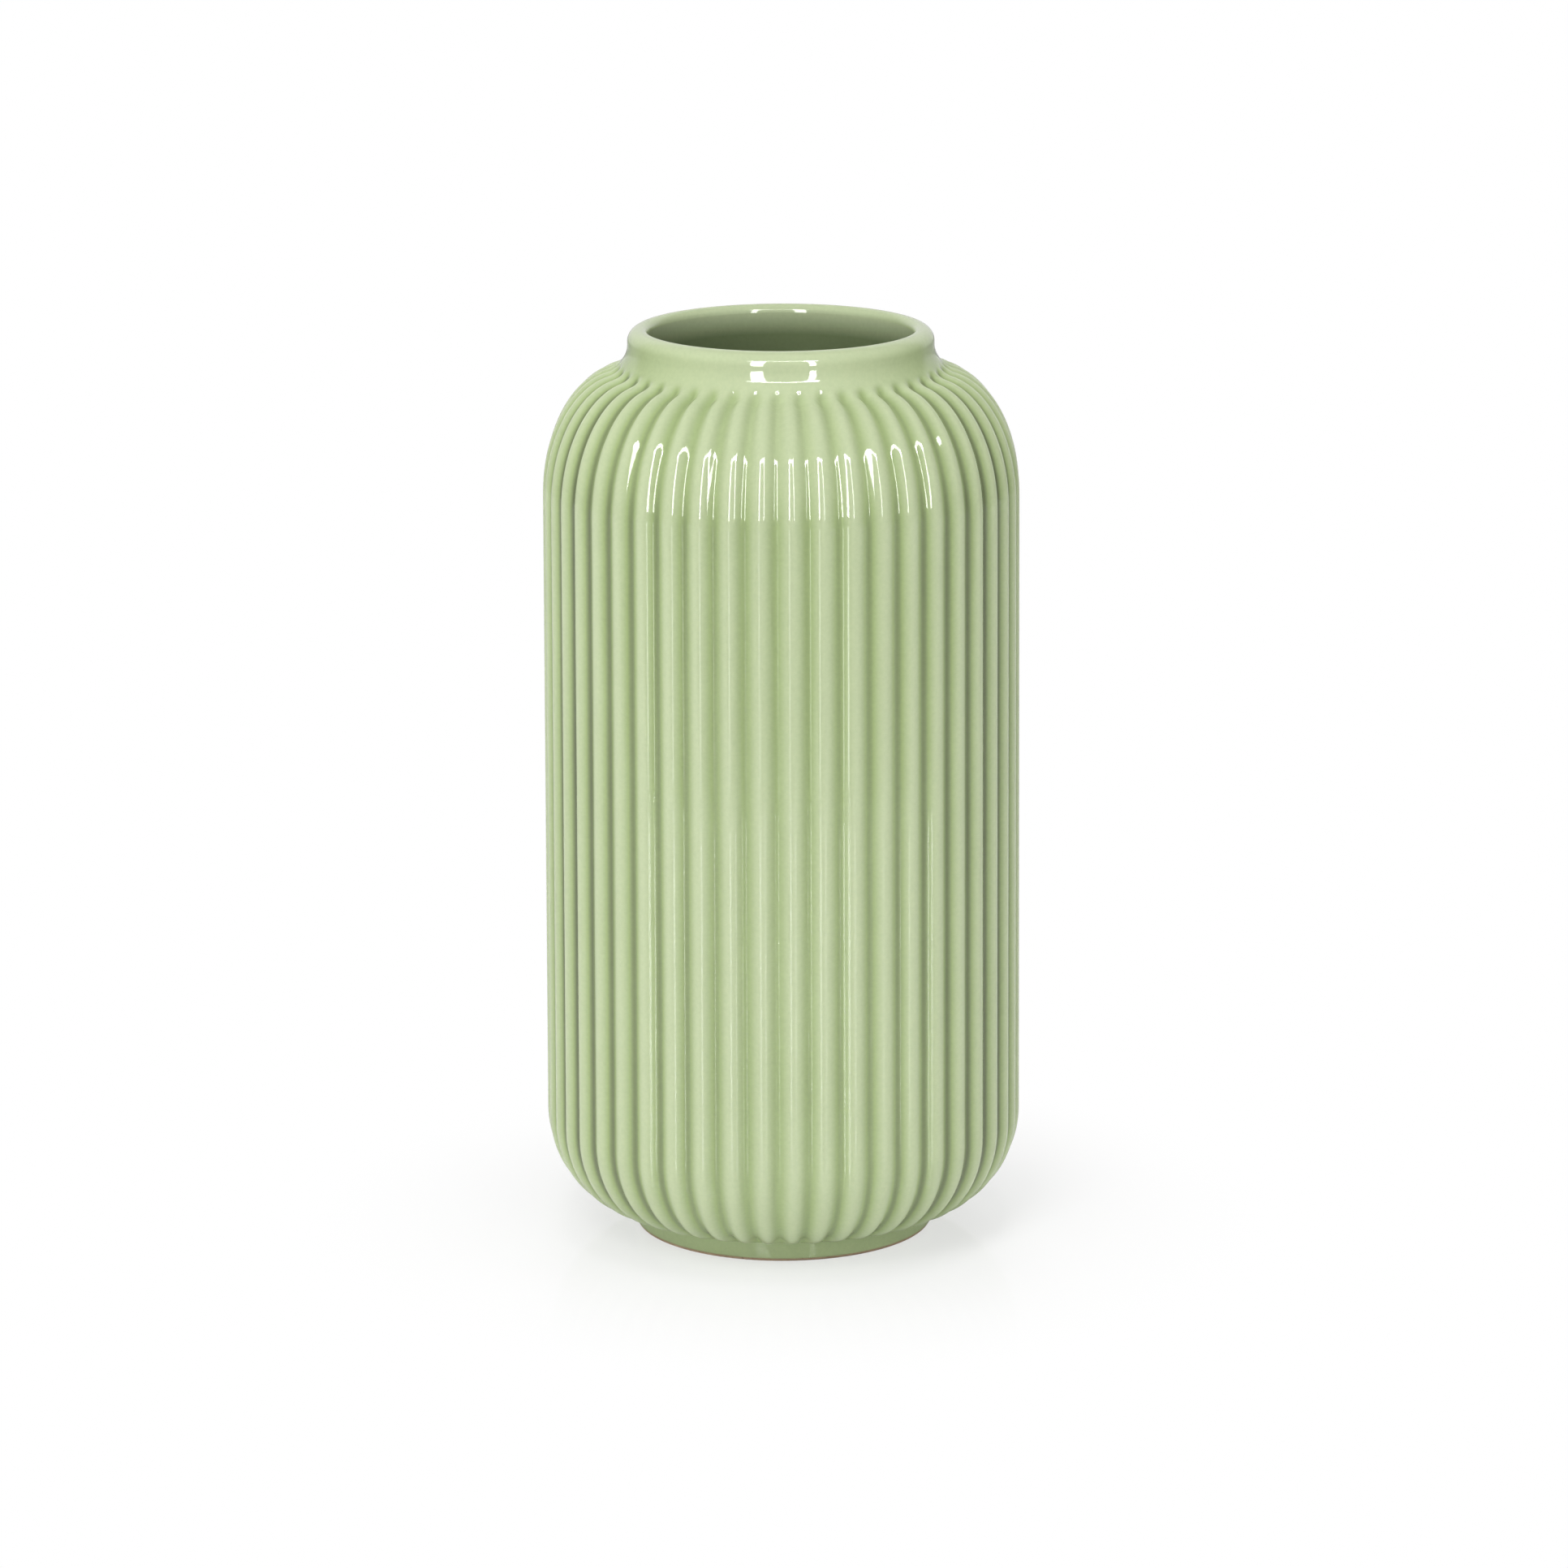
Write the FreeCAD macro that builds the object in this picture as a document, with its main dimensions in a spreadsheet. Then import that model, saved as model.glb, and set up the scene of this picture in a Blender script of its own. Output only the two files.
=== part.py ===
import FreeCAD, Part
import math
import os
from types import SimpleNamespace

import Sketcher

# Driving sizes in millimetres. Radii are measured from the upright axis, heights from the table.
vase = SimpleNamespace(
    height=250.0,
    # fluted body, over the ridges
    belly_radius=65.15,
    belly_height=33.0,
    shoulder_radius=64.4,
    shoulder_rise=33.8,
    shoulder_wall=8.5,
    wall=5.7,
    # flutes
    flute_count=48,
    flute_depth=1.5,
    flute_run_in=2.8,
    flute_run_out=2.2,
    ridge_fullness_share=0.08,
    # collar and lip, from the shoulder's crown, where its curve would come level, to the top
    collar_radius=41.3,
    crown_outside_collar=1.5,
    collar_sweep=7.8,
    collar_foot_drop=4.67,
    collar_straight=0.73,
    lip_inner_round=2.1,
    throat_round=3.0,
    # foot and floor
    foot_radius=41.0,
    foot_overhang=0.8,
    foot_height=6.0,
    foot_ring_height=4.5,
    foot_ring_width=7.0,
    foot_edge_round=0.5,
    floor_thickness=5.7,
    floor_round=20.0,
    # glaze
    glaze=0.35,
    glaze_pool=0.2,
    bare_height=0.8,
    # how far a cutting shape runs past what it cuts
    overrun=2.0,
)

# The first ridge stands this many degrees to the right of the front of the vase, which faces -Y.
RIDGE_TURN = 2.5
FRONT = -90.0

# How finely a flute is drawn: points across one flute, and rows along each stretch of its length.
ACROSS_COUNT = 13
CURVE_ROW_COUNT = 16
SWEEP_ROW_COUNT = 9
STRAIGHT_ROW_COUNT = 2
HALVING_COUNT = 60

# How a sketch numbers the points of a line or arc, and its own axes. The table's axis starts at the origin.
START_POINT, END_POINT, CENTRE_POINT = range(1, 4)
TABLE_AXIS, UPRIGHT_AXIS = range(-1, -3, -1)
ORIGIN_POINT = (TABLE_AXIS, START_POINT)


def foot_side(level, inset):
    """Radius of the slightly flared side of the foot."""
    return vase.foot_radius + vase.foot_overhang * level / vase.foot_height - inset


def add_outside_sizes():
    """Work out the levels of collar and shoulder, which hang from the top, and the reach of the curves."""
    vase.bowl_drop = vase.belly_height - vase.foot_height
    vase.bowl_reach = vase.belly_radius - vase.foot_radius
    vase.shoulder_centre = vase.collar_radius + vase.crown_outside_collar
    vase.shoulder_reach = vase.shoulder_radius - vase.shoulder_centre

    vase.throat_radius = vase.collar_radius - vase.wall
    vase.lip_outer_round = vase.wall - vase.lip_inner_round
    vase.crest_radius = vase.throat_radius + vase.lip_inner_round
    vase.lip_inner_level = vase.height - vase.lip_inner_round
    vase.lip_outer_level = vase.height - vase.lip_outer_round
    vase.sweep_radius = vase.collar_radius + vase.collar_sweep
    vase.sweep_level = vase.lip_outer_level - vase.collar_straight
    vase.joint_height = vase.sweep_level - vase.collar_foot_drop
    vase.sweep_foot = vase.sweep_radius - sweep_run(vase.collar_sweep)
    vase.clay_sweep_foot = vase.sweep_radius - sweep_run(vase.collar_sweep + vase.glaze)

    vase.shoulder_turn = halve(too_far_out, 0.0, math.pi / 2)
    _, upward = ellipse_normal(vase.shoulder_reach, vase.shoulder_rise, vase.shoulder_turn)
    vase.sweep_turn = math.asin(upward)
    shoulder_top = vase.sweep_level - vase.collar_sweep * upward
    vase.shoulder_height = shoulder_top - vase.shoulder_rise * math.sin(vase.shoulder_turn)


def add_inside_sizes():
    """Work out the hollow, the foot's recess and the cuts that make them."""
    vase.low_barrel = vase.belly_radius - vase.wall
    vase.high_barrel = vase.shoulder_radius - vase.wall
    vase.floor_level = vase.foot_height + vase.floor_thickness
    vase.floor_flat = vase.low_barrel - vase.floor_round
    vase.barrel_bottom = vase.floor_level + vase.floor_round
    vase.ceiling_level = vase.shoulder_height + vase.shoulder_rise - vase.shoulder_wall
    vase.ceiling_flat = vase.throat_radius + vase.throat_round
    vase.ceiling_round = vase.high_barrel - vase.ceiling_flat
    vase.barrel_top = vase.ceiling_level - vase.ceiling_round
    vase.throat_level = vase.ceiling_level + vase.throat_round
    vase.recess_radius = vase.foot_radius - vase.foot_ring_width
    vase.cut_top = vase.joint_height + vase.overrun
    vase.hole_bottom = vase.foot_ring_height - vase.overrun


def add_clay_sizes():
    """Work out the same places on the bare clay, one coat of glaze further in."""
    vase.clay_throat = vase.throat_radius + vase.glaze
    vase.clay_collar = vase.collar_radius - vase.glaze
    vase.clay_height = vase.height - vase.glaze
    vase.clay_low_barrel = vase.low_barrel + vase.glaze
    vase.clay_high_barrel = vase.high_barrel + vase.glaze
    vase.clay_floor = vase.floor_level - vase.glaze
    vase.clay_ceiling = vase.ceiling_level + vase.glaze
    vase.glazed_recess = vase.recess_radius - vase.glaze
    vase.glazed_base = vase.foot_height - vase.glaze
    vase.clay_foot_joint = foot_side(vase.foot_ring_height, vase.glaze)
    vase.clay_foot_edge = foot_side(vase.foot_edge_round, vase.glaze)
    vase.foot_flat = vase.clay_foot_edge - vase.foot_edge_round
    vase.recess_edge = vase.recess_radius + vase.foot_edge_round


def ellipse_normal(reach, rise, turn):
    """Outward direction on an upright ellipse at an angle from its side."""
    radial = math.cos(turn) / reach
    upward = math.sin(turn) / rise
    length = math.hypot(radial, upward)
    return radial / length, upward / length


def halve(wrong_at, low, high):
    """The place between low and high where wrong_at turns from positive to negative."""
    for _ in range(HALVING_COUNT):
        middle = (low + high) / 2
        if wrong_at(middle) > 0:
            low = middle
        else:
            high = middle
    return (low + high) / 2


def too_far_out(turn):
    """How far outside its true centre line the sweep would be if it left the shoulder at this turn."""
    radial, _ = ellipse_normal(vase.shoulder_reach, vase.shoulder_rise, turn)
    side = vase.shoulder_centre + vase.shoulder_reach * math.cos(turn)
    return side + vase.collar_sweep * radial - vase.sweep_radius


def sweep_run(radius):
    """Sideways distance from the centre of the sweep to where it crosses the collar's joint."""
    return math.sqrt(radius * radius - vase.collar_foot_drop * vase.collar_foot_drop)


def make_sheet(document):
    """Keep every size in the document's sheet, under its own name, and go on with what the sheet says."""
    sheet = document.addObject("Spreadsheet::Sheet", "sizes")
    for row, (name, value) in enumerate(vars(vase).items(), start=1):
        sheet.set(f"A{row}", name)
        sheet.set(f"B{row}", str(value))
        sheet.setAlias(f"B{row}", name)
    document.recompute()
    for name in vars(vase):
        setattr(vase, name, sheet.get(name))


# Turned pieces: a half outline in a sketch, turned round the upright axis

def corner(radius, level):
    """A corner of an outline: the names of its radius and level. None lies on the axis or table."""
    return SimpleNamespace(radius=radius, level=level, centre=None)


def arc_to(radius, level, centre_radius, centre_level):
    """The same, reached by an arc about a centre."""
    return SimpleNamespace(radius=radius, level=level, centre=(centre_radius, centre_level))


def spot(radius, level):
    """The sketch point for two named sizes."""
    across = getattr(vase, radius) if radius else 0
    up = getattr(vase, level) if level else 0
    return FreeCAD.Vector(across, up, 0)


def arc_between(start, end, centre):
    """The shorter arc from start to end, which a sketch keeps anticlockwise, and whether it is turned."""
    first = math.atan2(start.y - centre.y, start.x - centre.x)
    last = math.atan2(end.y - centre.y, end.x - centre.x)
    turned = (last - first) % (2 * math.pi) > math.pi
    if turned:
        first, last = last, first
    circle = Part.Circle(centre, FreeCAD.Vector(0, 0, 1), (start - centre).Length)
    return Part.ArcOfCircle(circle, first, last), turned


def tie(sketch, direction, item, point, name):
    """Tie a sketch point to a named radius or level, or to the axis or table where there is none."""
    if name is None:
        line = UPRIGHT_AXIS if direction == "DistanceX" else TABLE_AXIS
        sketch.addConstraint(Sketcher.Constraint("PointOnObject", item, point, line))
        return
    distance = Sketcher.Constraint(direction, *ORIGIN_POINT, item, point, getattr(vase, name))
    number = sketch.addConstraint(distance)
    sketch.setExpression(f"Constraints[{number}]", f"sizes.{name}")


def draw_outline(sketch, outline):
    """Draw a closed outline from its corners and tie each one to the sheet."""
    ends = []
    for here, after in zip(outline, outline[1:] + outline[:1]):
        start = spot(here.radius, here.level)
        end = spot(after.radius, after.level)
        if after.centre is None:
            item = sketch.addGeometry(Part.LineSegment(start, end), False)
            ends.append((item, START_POINT, END_POINT))
            continue
        _, centre_level = after.centre
        arc, turned = arc_between(start, end, spot(*after.centre))
        item = sketch.addGeometry(arc, False)
        ends.append((item, END_POINT, START_POINT) if turned else (item, START_POINT, END_POINT))
        tie(sketch, "DistanceY", item, CENTRE_POINT, centre_level)
    for place, (item, first, _) in enumerate(ends):
        before, _, last = ends[place - 1]
        sketch.addConstraint(Sketcher.Constraint("Coincident", before, last, item, first))
        tie(sketch, "DistanceX", item, first, outline[place].radius)
        tie(sketch, "DistanceY", item, first, outline[place].level)


def turned_body(document, name, outline):
    """A body made by turning an outline round the upright axis."""
    body = document.addObject("PartDesign::Body", name)
    body.Label = name
    plane = next(item for item in body.Origin.OriginFeatures if item.Role == "XZ_Plane")
    sketch = body.newObject("Sketcher::SketchObject", f"{name}_outline")
    sketch.AttachmentSupport = [(plane, "")]
    sketch.MapMode = "FlatFace"
    draw_outline(sketch, outline)
    document.recompute()
    turn = body.newObject("PartDesign::Revolution", f"{name}_turned")
    turn.Profile = sketch
    turn.ReferenceAxis = (sketch, ["V_Axis"])
    turn.Angle = 360.0
    sketch.Visibility = False
    body.Tip = turn
    return body


# Fluted surfaces: one flute drawn through points, then repeated round the vase

def interpolated(points):
    """A smooth curve through points at even marks."""
    marks = [place / (len(points) - 1) for place in range(len(points))]
    curve = Part.BSplineCurve()
    curve.interpolate(Points=points, Parameters=marks)
    return curve


def smooth_face(grid):
    """A face through a grid of points. Grids that share a row meet exactly along it."""
    across = [interpolated(row) for row in grid]
    columns = zip(*[curve.getPoles() for curve in across])
    along = [interpolated(list(column)) for column in columns]
    surface = Part.BSplineSurface()
    surface.buildFromPolesMultsKnots(
        [curve.getPoles() for curve in along],
        across[0].getMultiplicities(),
        along[0].getMultiplicities(),
        across[0].getKnots(),
        along[0].getKnots(),
        False,
        False,
        across[0].Degree,
        along[0].Degree,
    )
    return surface.toShape()


def flute_shape(share):
    """Share of the flute's depth across one ridge: all at both sides, none in the middle."""
    turn = 2 * math.pi * share
    hollow = (1 + math.cos(turn)) / 2
    return hollow - vase.ridge_fullness_share * math.sin(turn) ** 2


def grown(distance, reach):
    """Share of its full depth that a flute has at a distance from its end."""
    share = min(1.0, max(0.0, distance / reach))
    return share * share * (3 - 2 * share)


def run_in(level):
    """The flutes start from nothing under the collar and reach their depth a little lower."""
    return grown(vase.joint_height - level, vase.flute_run_in)


def inward(radius, level, radial, upward, inset):
    """A point of the outline moved square into the wall."""
    return radius - radial * inset, level - upward * inset


def bowl_place(turn, inset, hollow):
    """A point of the bowl, an ellipse from the belly down to the foot, where the flutes run out."""
    radial, upward = ellipse_normal(vase.bowl_reach, vase.bowl_drop, turn)
    radius = vase.foot_radius + vase.bowl_reach * math.cos(turn)
    level = vase.belly_height - vase.bowl_drop * math.sin(turn)
    fade = grown(level - vase.foot_height, vase.flute_run_out)
    return inward(radius, level, radial, -upward, inset + hollow * fade)


def bowl_end(inset, hollow):
    """The turn at which the bowl runs into the side of the foot."""

    def outside_foot(turn):
        radius, level = bowl_place(turn, inset, hollow)
        return radius - foot_side(level, inset)

    return halve(outside_foot, 0.0, math.pi / 2)


def foot_stretch(inset, bottom):
    """Side of the foot, from a level up to where the bowl begins."""

    def place(step, hollow):
        _, level = bowl_place(bowl_end(inset, hollow), inset, hollow)
        level = bottom + step * (level - bottom)
        return foot_side(level, inset), level

    return place, STRAIGHT_ROW_COUNT


def bowl_stretch(inset):
    """The rounded bowl of the body."""

    def place(step, hollow):
        return bowl_place(bowl_end(inset, hollow) * (1 - step), inset, hollow)

    return place, CURVE_ROW_COUNT


def wall_stretch(inset):
    """The nearly upright wall, from the belly to the shoulder."""

    def place(step, hollow):
        radius = vase.belly_radius + step * (vase.shoulder_radius - vase.belly_radius)
        level = vase.belly_height + step * (vase.shoulder_height - vase.belly_height)
        return inward(radius, level, 1, 0, inset + hollow)

    return place, STRAIGHT_ROW_COUNT


def shoulder_stretch(inset):
    """The shoulder, an ellipse from the wall up to the sweep of the collar."""

    def place(step, hollow):
        turn = vase.shoulder_turn * step
        radial, upward = ellipse_normal(vase.shoulder_reach, vase.shoulder_rise, turn)
        radius = vase.shoulder_centre + vase.shoulder_reach * math.cos(turn)
        level = vase.shoulder_height + vase.shoulder_rise * math.sin(turn)
        return inward(radius, level, radial, upward, inset + hollow * run_in(level))

    return place, CURVE_ROW_COUNT


def sweep_stretch(inset):
    """The hollow sweep from the shoulder up to the joint of the collar."""
    last_turn = math.asin(vase.collar_foot_drop / (vase.collar_sweep + inset))

    def place(step, hollow):
        turn = vase.sweep_turn + step * (last_turn - vase.sweep_turn)
        level = vase.sweep_level - vase.collar_sweep * math.sin(turn)
        radius = vase.sweep_radius - vase.collar_sweep * math.cos(turn)
        fade = run_in(level) if step < 1 else 0
        return inward(radius, level, math.cos(turn), math.sin(turn), inset + hollow * fade)

    return place, SWEEP_ROW_COUNT


def fluted_grids(inset, depth, bottom):
    """Grids of points over one ridge, hollow to hollow, from the foot to the joint of the collar."""
    stretches = (
        foot_stretch(inset, bottom),
        bowl_stretch(inset),
        wall_stretch(inset),
        shoulder_stretch(inset),
        sweep_stretch(inset),
    )
    pitch = 360.0 / vase.flute_count
    first_hollow = FRONT + RIDGE_TURN - pitch / 2
    grids = []
    for place, row_count in stretches:
        grid = []
        for row in range(row_count):
            line = []
            for column in range(ACROSS_COUNT):
                share = column / (ACROSS_COUNT - 1)
                angle = math.radians(first_hollow + share * pitch)
                radius, level = place(row / (row_count - 1), depth * flute_shape(share))
                line.append(FreeCAD.Vector(radius * math.cos(angle), radius * math.sin(angle), level))
            grid.append(line)
        grids.append(grid)
    return grids


def round_the_vase(shape):
    """Copies of a shape, one for each flute."""
    middle = FreeCAD.Vector(0, 0, 0)
    axis = FreeCAD.Vector(0, 0, 1)
    pitch = 360.0 / vase.flute_count
    return [shape.rotated(middle, axis, pitch * number) for number in range(vase.flute_count)]


def fluted_faces(grids):
    """All faces of a fluted surface."""
    return [face for grid in grids for face in round_the_vase(smooth_face(grid))]


def ring_wire(row):
    """The closed line that a row of a grid makes round the vase."""
    return Part.Wire(round_the_vase(interpolated(row).toShape()))


def closed_solid(faces):
    """The solid within a set of faces that meet edge to edge."""
    shell = Part.makeShell(faces)
    shell.sewShape()
    solid = Part.makeSolid(shell)
    if solid.Volume < 0:
        solid.reverse()
    return solid


def flat_face(*wires):
    """A flat face within a line, or between two."""
    return Part.makeFace(list(wires), "Part::FaceMakerBullseye")


def clay_blank():
    """Solid form of the fluted clay, before it is hollowed."""
    depth = vase.flute_depth + vase.glaze_pool
    grids = fluted_grids(vase.glaze, depth, vase.foot_ring_height)
    ends = [flat_face(ring_wire(grids[0][0])), flat_face(ring_wire(grids[-1][-1]))]
    return closed_solid(fluted_faces(grids) + ends)


def fluted_coat():
    """Glaze over the foot and flutes, thin on the ridges and pooled in the hollows."""
    outside = fluted_grids(0, vase.flute_depth, vase.bare_height)
    depth = vase.flute_depth + vase.glaze_pool
    inside = fluted_grids(vase.glaze, depth, vase.bare_height)
    bottom = flat_face(ring_wire(outside[0][0]), ring_wire(inside[0][0]))
    top = flat_face(ring_wire(outside[-1][-1]), ring_wire(inside[-1][-1]))
    return closed_solid(fluted_faces(outside) + fluted_faces(inside) + [bottom, top])


def add_shape(document, name, shape):
    """A piece whose form is worked out above."""
    piece = document.addObject("Part::Feature", name)
    piece.Label = name
    piece.Shape = shape
    piece.Placement = FreeCAD.Placement()
    return piece


def add_cylinder(document, name, radius, bottom, top):
    """A cylinder on the axis between two named levels."""
    cylinder = document.addObject("Part::Cylinder", name)
    cylinder.Label = name
    cylinder.setExpression("Radius", f"sizes.{radius}")
    cylinder.setExpression("Height", f"sizes.{top} - sizes.{bottom}")
    cylinder.setExpression("Placement.Base.z", f"sizes.{bottom}")
    return cylinder


def cut_from(document, name, base, tool):
    """One piece with another cut out of it."""
    cut = document.addObject("Part::Cut", name)
    cut.Label = name
    cut.Base = base
    cut.Tool = tool
    return cut


def join(document, name, base, tool):
    """Two pieces made one."""
    joined = document.addObject("Part::Fuse", name)
    joined.Label = name
    joined.Base = base
    joined.Tool = tool
    return joined


def foot_ring(document):
    """The clay ring that the vase stands on, left bare below, its edges eased."""
    outline = [
        corner("recess_radius", "foot_ring_height"),
        corner("recess_radius", "foot_edge_round"),
        arc_to("recess_edge", None, "recess_edge", "foot_edge_round"),
        corner("foot_flat", None),
        arc_to("clay_foot_edge", "foot_edge_round", "foot_flat", "foot_edge_round"),
        corner("clay_foot_joint", "foot_ring_height"),
    ]
    return turned_body(document, "foot_ring", outline)


def base_floor(document):
    """The clay disc that closes the bottom, set in above the foot's recess."""
    return add_cylinder(document, "base_floor", "recess_radius", "foot_height", "clay_floor")


def fluted_wall(document):
    """The fluted clay body, hollowed from above and open below for the floor."""
    blank = add_shape(document, "fluted_blank", clay_blank())
    outline = [
        corner(None, "clay_floor"),
        corner("floor_flat", "clay_floor"),
        arc_to("clay_low_barrel", "barrel_bottom", "floor_flat", "barrel_bottom"),
        corner("clay_high_barrel", "barrel_top"),
        arc_to("ceiling_flat", "clay_ceiling", "ceiling_flat", "barrel_top"),
        arc_to("clay_throat", "throat_level", "ceiling_flat", "throat_level"),
        corner("clay_throat", "cut_top"),
        corner(None, "cut_top"),
    ]
    hollow = turned_body(document, "wall_hollow", outline)
    hole = add_cylinder(document, "floor_hole", "recess_radius", "hole_bottom", "clay_floor")
    hollowed = cut_from(document, "hollowed_wall", blank, hollow)
    return cut_from(document, "fluted_wall", hollowed, hole)


def neck_collar(document):
    """The plain clay collar with its rounded lip."""
    outline = [
        corner("clay_throat", "joint_height"),
        corner("clay_sweep_foot", "joint_height"),
        arc_to("clay_collar", "sweep_level", "sweep_radius", "sweep_level"),
        corner("clay_collar", "lip_outer_level"),
        arc_to("crest_radius", "clay_height", "crest_radius", "lip_outer_level"),
        arc_to("clay_throat", "lip_inner_level", "crest_radius", "lip_inner_level"),
    ]
    return turned_body(document, "neck_collar", outline)


def outer_glaze(document):
    """One coat of glaze from just above the table to the inside of the lip."""
    coat = add_shape(document, "fluted_coat", fluted_coat())
    outline = [
        arc_to("clay_sweep_foot", "joint_height", "sweep_radius", "sweep_level"),
        corner("sweep_foot", "joint_height"),
        arc_to("collar_radius", "sweep_level", "sweep_radius", "sweep_level"),
        corner("collar_radius", "lip_outer_level"),
        arc_to("crest_radius", "height", "crest_radius", "lip_outer_level"),
        arc_to("throat_radius", "lip_inner_level", "crest_radius", "lip_inner_level"),
        corner("clay_throat", "lip_inner_level"),
        arc_to("crest_radius", "clay_height", "crest_radius", "lip_inner_level"),
        arc_to("clay_collar", "lip_outer_level", "crest_radius", "lip_outer_level"),
        corner("clay_collar", "sweep_level"),
    ]
    collar = turned_body(document, "collar_coat", outline)
    return join(document, "outer_glaze", coat, collar)


def liner_glaze(document):
    """The coat that lines the inside, from the floor up to the lip."""
    outline = [
        corner(None, "clay_floor"),
        corner("floor_flat", "clay_floor"),
        arc_to("clay_low_barrel", "barrel_bottom", "floor_flat", "barrel_bottom"),
        corner("clay_high_barrel", "barrel_top"),
        arc_to("ceiling_flat", "clay_ceiling", "ceiling_flat", "barrel_top"),
        arc_to("clay_throat", "throat_level", "ceiling_flat", "throat_level"),
        corner("clay_throat", "lip_inner_level"),
        corner("throat_radius", "lip_inner_level"),
        corner("throat_radius", "throat_level"),
        arc_to("ceiling_flat", "ceiling_level", "ceiling_flat", "throat_level"),
        arc_to("high_barrel", "barrel_top", "ceiling_flat", "barrel_top"),
        corner("low_barrel", "barrel_bottom"),
        arc_to("floor_flat", "floor_level", "floor_flat", "barrel_bottom"),
        corner(None, "floor_level"),
    ]
    return turned_body(document, "liner_glaze", outline)


def base_glaze(document):
    """The coat inside the foot's recess, wiped off the foot itself."""
    outline = [
        corner(None, "foot_height"),
        corner("recess_radius", "foot_height"),
        corner("recess_radius", "bare_height"),
        corner("glazed_recess", "bare_height"),
        corner("glazed_recess", "glazed_base"),
        corner(None, "glazed_base"),
    ]
    return turned_body(document, "base_glaze", outline)


def check(document, pieces):
    """Stop if any object failed or any piece isn't one sound solid."""
    for item in document.Objects:
        if "Invalid" in item.State or "Error" in item.State:
            raise RuntimeError(f"{item.Label} failed: {item.State}")
    for piece in pieces:
        if piece.Shape.isNull() or not piece.Shape.isValid() or len(piece.Shape.Solids) != 1:
            raise RuntimeError(f"{piece.Label} isn't one sound solid")


def main():
    add_outside_sizes()
    add_inside_sizes()
    add_clay_sizes()
    document = FreeCAD.newDocument("fluted_vase")
    make_sheet(document)
    pieces = [
        foot_ring(document),
        base_floor(document),
        fluted_wall(document),
        neck_collar(document),
        outer_glaze(document),
        liner_glaze(document),
        base_glaze(document),
    ]
    document.recompute()
    check(document, pieces)
    os.makedirs("parts", exist_ok=True)
    for piece in pieces:
        piece.Shape.exportStep(f"parts/{piece.Label}.step")


main()
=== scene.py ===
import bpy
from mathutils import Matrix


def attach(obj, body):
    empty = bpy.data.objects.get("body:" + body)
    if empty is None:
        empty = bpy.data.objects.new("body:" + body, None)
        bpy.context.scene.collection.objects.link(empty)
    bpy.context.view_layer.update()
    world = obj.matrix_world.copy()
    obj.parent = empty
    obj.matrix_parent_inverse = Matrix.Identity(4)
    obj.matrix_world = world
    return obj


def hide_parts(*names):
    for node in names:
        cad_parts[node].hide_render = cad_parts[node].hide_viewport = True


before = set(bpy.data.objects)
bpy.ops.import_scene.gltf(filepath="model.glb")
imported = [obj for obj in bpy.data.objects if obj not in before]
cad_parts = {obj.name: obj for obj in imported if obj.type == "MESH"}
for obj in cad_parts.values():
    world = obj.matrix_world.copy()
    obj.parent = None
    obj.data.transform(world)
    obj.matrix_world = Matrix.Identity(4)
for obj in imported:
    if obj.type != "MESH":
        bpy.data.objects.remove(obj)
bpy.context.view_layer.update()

import math
from types import SimpleNamespace

import bpy
from mathutils import Euler, Matrix, Vector

# Sizes of the vase in metres, as the solids have them. Radii from the axis, heights from the table.
vase = SimpleNamespace(
    height=0.250,
    belly_radius=0.06515,
    belly_height=0.033,
    shoulder_radius=0.0644,
    shoulder_rise=0.0338,
    shoulder_wall=0.0085,
    wall=0.0057,
    flute_depth=0.0015,
    flute_run_in=0.0028,
    flute_run_out=0.0022,
    ridge_fullness_share=0.08,
    collar_radius=0.0413,
    crown_outside_collar=0.0015,
    collar_sweep=0.0078,
    collar_foot_drop=0.00467,
    collar_straight=0.00073,
    lip_inner_round=0.0021,
    throat_round=0.003,
    foot_radius=0.041,
    foot_overhang=0.0008,
    foot_height=0.006,
    floor_thickness=0.0057,
    floor_round=0.020,
    glaze=0.00035,
    glaze_pool=0.0002,
    bare_height=0.0008,
)
FLUTES = 48

# Sizes that follow from these
vase.bowl_drop = vase.belly_height - vase.foot_height
vase.bowl_reach = vase.belly_radius - vase.foot_radius
vase.shoulder_centre = vase.collar_radius + vase.crown_outside_collar
vase.shoulder_reach = vase.shoulder_radius - vase.shoulder_centre
vase.throat_radius = vase.collar_radius - vase.wall
vase.lip_outer_round = vase.wall - vase.lip_inner_round
vase.crest_radius = vase.throat_radius + vase.lip_inner_round
vase.lip_inner_level = vase.height - vase.lip_inner_round
vase.lip_outer_level = vase.height - vase.lip_outer_round
vase.sweep_radius = vase.collar_radius + vase.collar_sweep
vase.sweep_level = vase.lip_outer_level - vase.collar_straight
vase.joint_height = vase.sweep_level - vase.collar_foot_drop
vase.low_barrel = vase.belly_radius - vase.wall
vase.high_barrel = vase.shoulder_radius - vase.wall
vase.floor_level = vase.foot_height + vase.floor_thickness
vase.ceiling_flat = vase.throat_radius + vase.throat_round
vase.ceiling_round = vase.high_barrel - vase.ceiling_flat

# Angles round the axis: the front, and how far a ridge is turned from it
FRONT = math.radians(-90)
RIDGE_TURN = math.radians(2.5)

# How deep the pooled glaze looks, with painted shade and painted light added to it. A ridge is none, a
# hollow at the front is one.
# Painted shade: the hollows darken towards the left and right sides, up to twice their pooled depth.
SIDE_PAINTED_SHADE = 1.0
# Painted shade: the glaze darkens near the foot, where the flutes run out.
FOOT_PAINTED_SHADE = 0.55
# Painted shade: the collar darkens towards its left and right sides, fading out at the lip's crest.
COLLAR_PAINTED_SHADE = 0.9
COLLAR_PAINTED_SHADE_POWER = 2.5
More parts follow.
